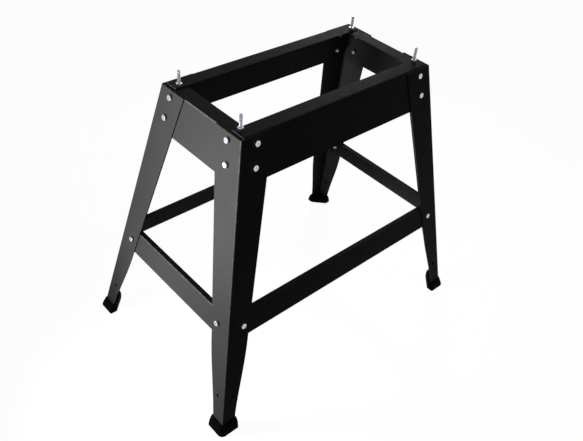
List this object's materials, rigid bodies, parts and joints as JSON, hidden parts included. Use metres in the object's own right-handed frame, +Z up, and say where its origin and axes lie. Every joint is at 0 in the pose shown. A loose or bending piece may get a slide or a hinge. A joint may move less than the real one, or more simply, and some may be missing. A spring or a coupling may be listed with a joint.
{
  "type": "band saw stand",
  "caption": "Open steel stand for a small band saw: splayed tapered angle legs, bolted top rails and lower stretchers, rubber boots and upright mounting bolts.",
  "frame": {"origin": "on the floor, under the middle of the stand", "axes": "+X along the long side, +Y across the stand to the rear, +Z up"},
  "size_m": [0.7136, 0.4626, 0.63],
  "materials": {
    "black_paint": "satin",
    "zinc_plate": "bright zinc plate",
    "black_rubber": "matt"
  },
  "bodies": {
    "root": {"leg_front_left": "black_paint", "leg_front_right": "black_paint", "leg_rear_left": "black_paint", "leg_rear_right": "black_paint", "top_rail_front": "black_paint", "top_rail_rear": "black_paint", "top_rail_left": "black_paint", "top_rail_right": "black_paint", "stretcher_front": "black_paint", "stretcher_rear": "black_paint", "stretcher_left": "black_paint", "stretcher_right": "black_paint", "rail_bolt_front_left_long_upper": "zinc_plate", "rail_bolt_front_left_long_lower": "zinc_plate", "rail_bolt_front_left_short_upper": "zinc_plate", "rail_bolt_front_left_short_lower": "zinc_plate", "rail_bolt_front_right_long_upper": "zinc_plate", "rail_bolt_front_right_long_lower": "zinc_plate", "rail_bolt_front_right_short_upper": "zinc_plate", "rail_bolt_front_right_short_lower": "zinc_plate", "rail_bolt_rear_left_long_upper": "zinc_plate", "rail_bolt_rear_left_long_lower": "zinc_plate", "rail_bolt_rear_left_short_upper": "zinc_plate", "rail_bolt_rear_left_short_lower": "zinc_plate", "rail_bolt_rear_right_long_upper": "zinc_plate", "rail_bolt_rear_right_long_lower": "zinc_plate", "rail_bolt_rear_right_short_upper": "zinc_plate", "rail_bolt_rear_right_short_lower": "zinc_plate", "stretcher_bolt_front_left_long": "zinc_plate", "stretcher_bolt_front_left_short": "zinc_plate", "stretcher_bolt_front_right_long": "zinc_plate", "stretcher_bolt_front_right_short": "zinc_plate", "stretcher_bolt_rear_left_long": "zinc_plate", "stretcher_bolt_rear_left_short": "zinc_plate", "stretcher_bolt_rear_right_long": "zinc_plate", "stretcher_bolt_rear_right_short": "zinc_plate", "stretcher_nut_front_left_long": "zinc_plate", "stretcher_nut_front_left_short": "zinc_plate", "stretcher_nut_front_right_long": "zinc_plate", "stretcher_nut_front_right_short": "zinc_plate", "stretcher_nut_rear_left_long": "zinc_plate", "stretcher_nut_rear_left_short": "zinc_plate", "stretcher_nut_rear_right_long": "zinc_plate", "stretcher_nut_rear_right_short": "zinc_plate", "mount_bolt_front_left": "zinc_plate", "mount_bolt_front_right": "zinc_plate", "mount_bolt_rear_left": "zinc_plate", "mount_bolt_rear_right": "zinc_plate", "mount_nut_front_left": "zinc_plate", "mount_nut_front_right": "zinc_plate", "mount_nut_rear_left": "zinc_plate", "mount_nut_rear_right": "zinc_plate", "boot_front_left": "black_rubber", "boot_front_right": "black_rubber", "boot_rear_left": "black_rubber", "boot_rear_right": "black_rubber"}
  },
  "joints": []
}
